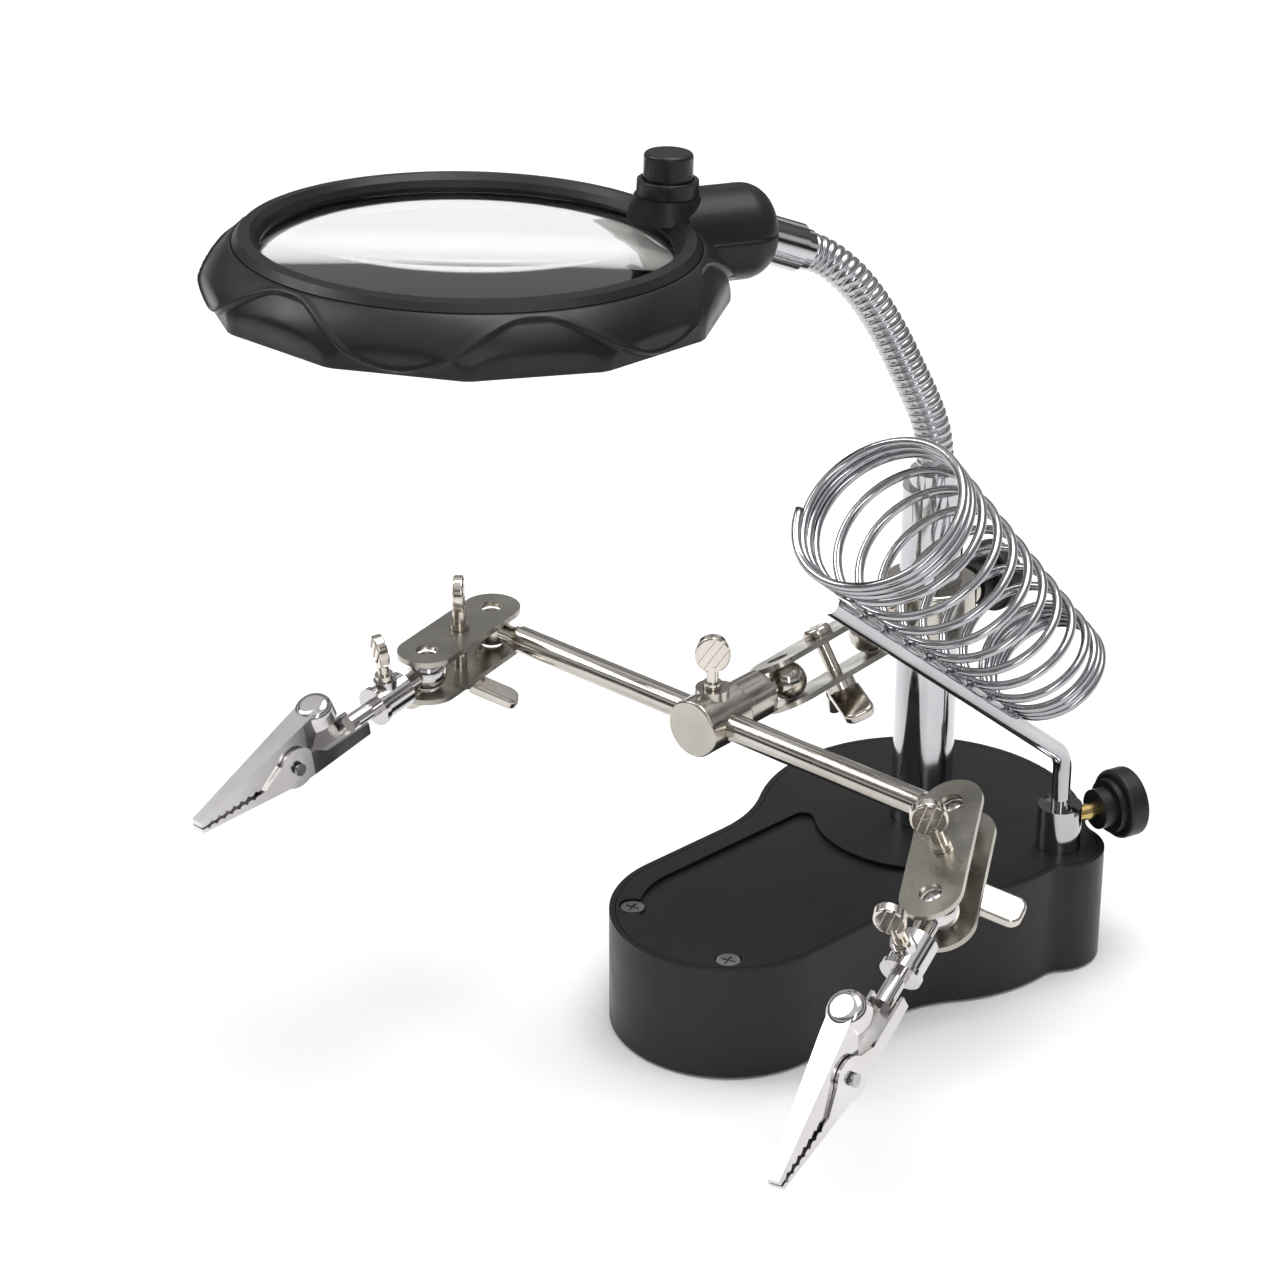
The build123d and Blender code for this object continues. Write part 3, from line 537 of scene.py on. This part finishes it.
def even_points(line, step):
    """The same line, divided into equal short steps."""
    out, left = [line[0]], 0.0
    for a, b in zip(line, line[1:]):
        run = (b - a).length
        at = step - left
        while at <= run:
            out.append(a.lerp(b, at / run))
            at += step
        left = (left + run) % step
    return out


def make_hose():
    """The ridged hose, in two pieces that meet at the neck's bend."""
    step = RIDGE_PITCH / RIDGE_STEPS
    points = even_points(neck_line(), step)
    radii = []
    for k in range(len(points)):
        phase = (k * step / RIDGE_PITCH) % 1.0
        radii.append((HOSE_R - RIDGE_DEPTH * (1 - math.sin(math.pi * phase)) ** 1.6) * MM)
    points = [p * MM for p in points]
    middle = min(range(len(points)), key=lambda k: (points[k] - NECK_A * MM).length)
    spans = (
        ("hose_lower", 0, middle + 1, "neck_base", "neck"),
        ("hose_upper", middle, len(points), "neck", "head"),
    )
    pieces = []
    for name, first, last, body_a, body_b in spans:
        vertices, faces = loft(tube_rings(points[first:last], radii[first:last], HOSE_SIDES))
        piece = add_piece(name, "hose_chrome", vertices, faces)
        if body_a == "neck_base":
            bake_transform(piece)
        else:
            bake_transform(piece)
        pieces.append(piece)
    for piece in pieces:
        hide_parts("gooseneck_hose")


# ------------------------------------------------------------------ iron rest
def share_of_length(turn):
    """How far along the coil's axis the wire has come after a number of turns, 0 to 1."""
    along, left = 0.0, turn
    for count, share in COIL_SPANS:
        part = min(left, count)
        along += share * part / count
        left -= part
        if left <= 0:
            break
    return along


def make_coil():
    """Conical wire coil whose rings lean back from the coil's own axis."""
    lean = Vector((0, math.sin(RING_TILT), math.cos(RING_TILT)))
    turns = sum(count for count, share in COIL_SPANS)
    points = []
    for k in range(int(turns * COIL_STEPS) + 1):
        turn = k / COIL_STEPS
        along = share_of_length(turn)
        centre = COIL_MOUTH.lerp(COIL_SMALL, along)
        r = COIL_R_MOUTH + (COIL_R_SMALL - COIL_R_MOUTH) * along
        a = 2 * math.pi * turn + COIL_FIRST
        points.append((centre + (Vector((1, 0, 0)) * math.cos(a) + lean * math.sin(a)) * r) * MM)
    vertices, faces = loft(tube_rings(points, [WIRE_R * MM] * len(points), WIRE_SIDES))
    coil = add_piece("iron_coil", "coil_chrome", vertices, faces, "iron_rest")
    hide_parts("rest_coil")


# ------------------------------------------------------------------ studio
def area_light(name, at, target, size, power):
    light = bpy.data.lights.new(name, "AREA")
    light.shape = "RECTANGLE"
    light.size, light.size_y = size
    light.energy = power
    obj = bpy.data.objects.new(name, light)
    obj.location = at
    obj.rotation_euler = (Vector(target) - Vector(at)).to_track_quat("-Z", "Y").to_euler()
    bpy.context.scene.collection.objects.link(obj)


def make_studio():
    half = FLOOR_HALF
    corners = [(-half, -half, 0), (half, -half, 0), (half, half, 0), (-half, half, 0)]
    mesh = bpy.data.meshes.new("floor")
    mesh.from_pydata(corners, [], [(0, 1, 2, 3)])
    mat, tree, shader = new_material("floor_white")
    white = tint(tree, noise(tree, 2.0), (0.93, 0.93, 0.93), (0.95, 0.95, 0.95))
    tree.links.new(white, shader.inputs["Base Color"])
    shader.inputs["Roughness"].default_value = 0.9
    mesh.materials.append(mat)
    floor = bpy.data.objects.new("floor", mesh)
    bpy.context.scene.collection.objects.link(floor)

    make_world()
    for light in LIGHTS:
        area_light(*light)


def make_world():
    """A room with dark bands at and above the horizon, so that bright metal shows them."""
    world = bpy.data.worlds.new("studio")
    world.use_nodes = True
    tree = world.node_tree
    coord = tree.nodes.new("ShaderNodeTexCoord")
    parts = tree.nodes.new("ShaderNodeSeparateXYZ")
    ramp = tree.nodes.new("ShaderNodeValToRGB")
    ramp.color_ramp.elements[0].position = WORLD_STOPS[0][0]
    ramp.color_ramp.elements[1].position = WORLD_STOPS[-1][0]
    for stop in WORLD_STOPS[1:-1]:
        ramp.color_ramp.elements.new(stop[0])
    for element, (_, level) in zip(ramp.color_ramp.elements, WORLD_STOPS):
        element.color = (level, level, level * 1.01, 1)
    half = tree.nodes.new("ShaderNodeMapRange")
    half.inputs["From Min"].default_value = -1.0
    tree.links.new(coord.outputs["Generated"], parts.inputs["Vector"])
    tree.links.new(parts.outputs["Z"], half.inputs["Value"])
    tree.links.new(half.outputs["Result"], ramp.inputs["Fac"])
    tree.links.new(ramp.outputs["Color"], tree.nodes["Background"].inputs["Color"])
    tree.nodes["Background"].inputs["Strength"].default_value = 0.9
    bpy.context.scene.world = world
    bpy.context.scene.view_settings.view_transform = "Standard"


def make_camera():
    """Seen from the front right, a little above the bench."""
    camera = bpy.data.cameras.new("camera")
    camera.sensor_width = 36.0
    camera.lens = CAMERA_LENS
    obj = bpy.data.objects.new("camera", camera)
    turn = Matrix((CAMERA_RIGHT, CAMERA_UP, CAMERA_BACK)).transposed().to_4x4()
    obj.matrix_world = Matrix.Translation(CAMERA_AT) @ turn
    bpy.context.scene.collection.objects.link(obj)
    bpy.context.scene.camera = obj


# ------------------------------------------------------------------ build
def paint_frame():
    """Every CAD node gets its slot's material; pressed and turned metal gets softened edges."""
    for part in frame["record"]["subparts"]:
        node, slot = NODES[part["node"]], part["material_slot"]
        paint(node, slot)
        if slot in SOFTENED:
            soften(node, SOFTENED[slot])


paint_frame()
skirt = make_skirt()
handle = make_handle_bottom()
make_reflector()
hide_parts("head_lower_shell")
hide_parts("head_lower_shell")
make_lens("glass_main", "lens", "main_lens", LENS_R, 3.6, 1.5, (0, 0, -5.7))
make_lens("glass_bifocal", "bifocal", "bifocal_lens", 9.0, 1.4, 0.5, (18.0, -16.0, -10.6))
make_hose()
make_coil()
make_studio()
make_camera()
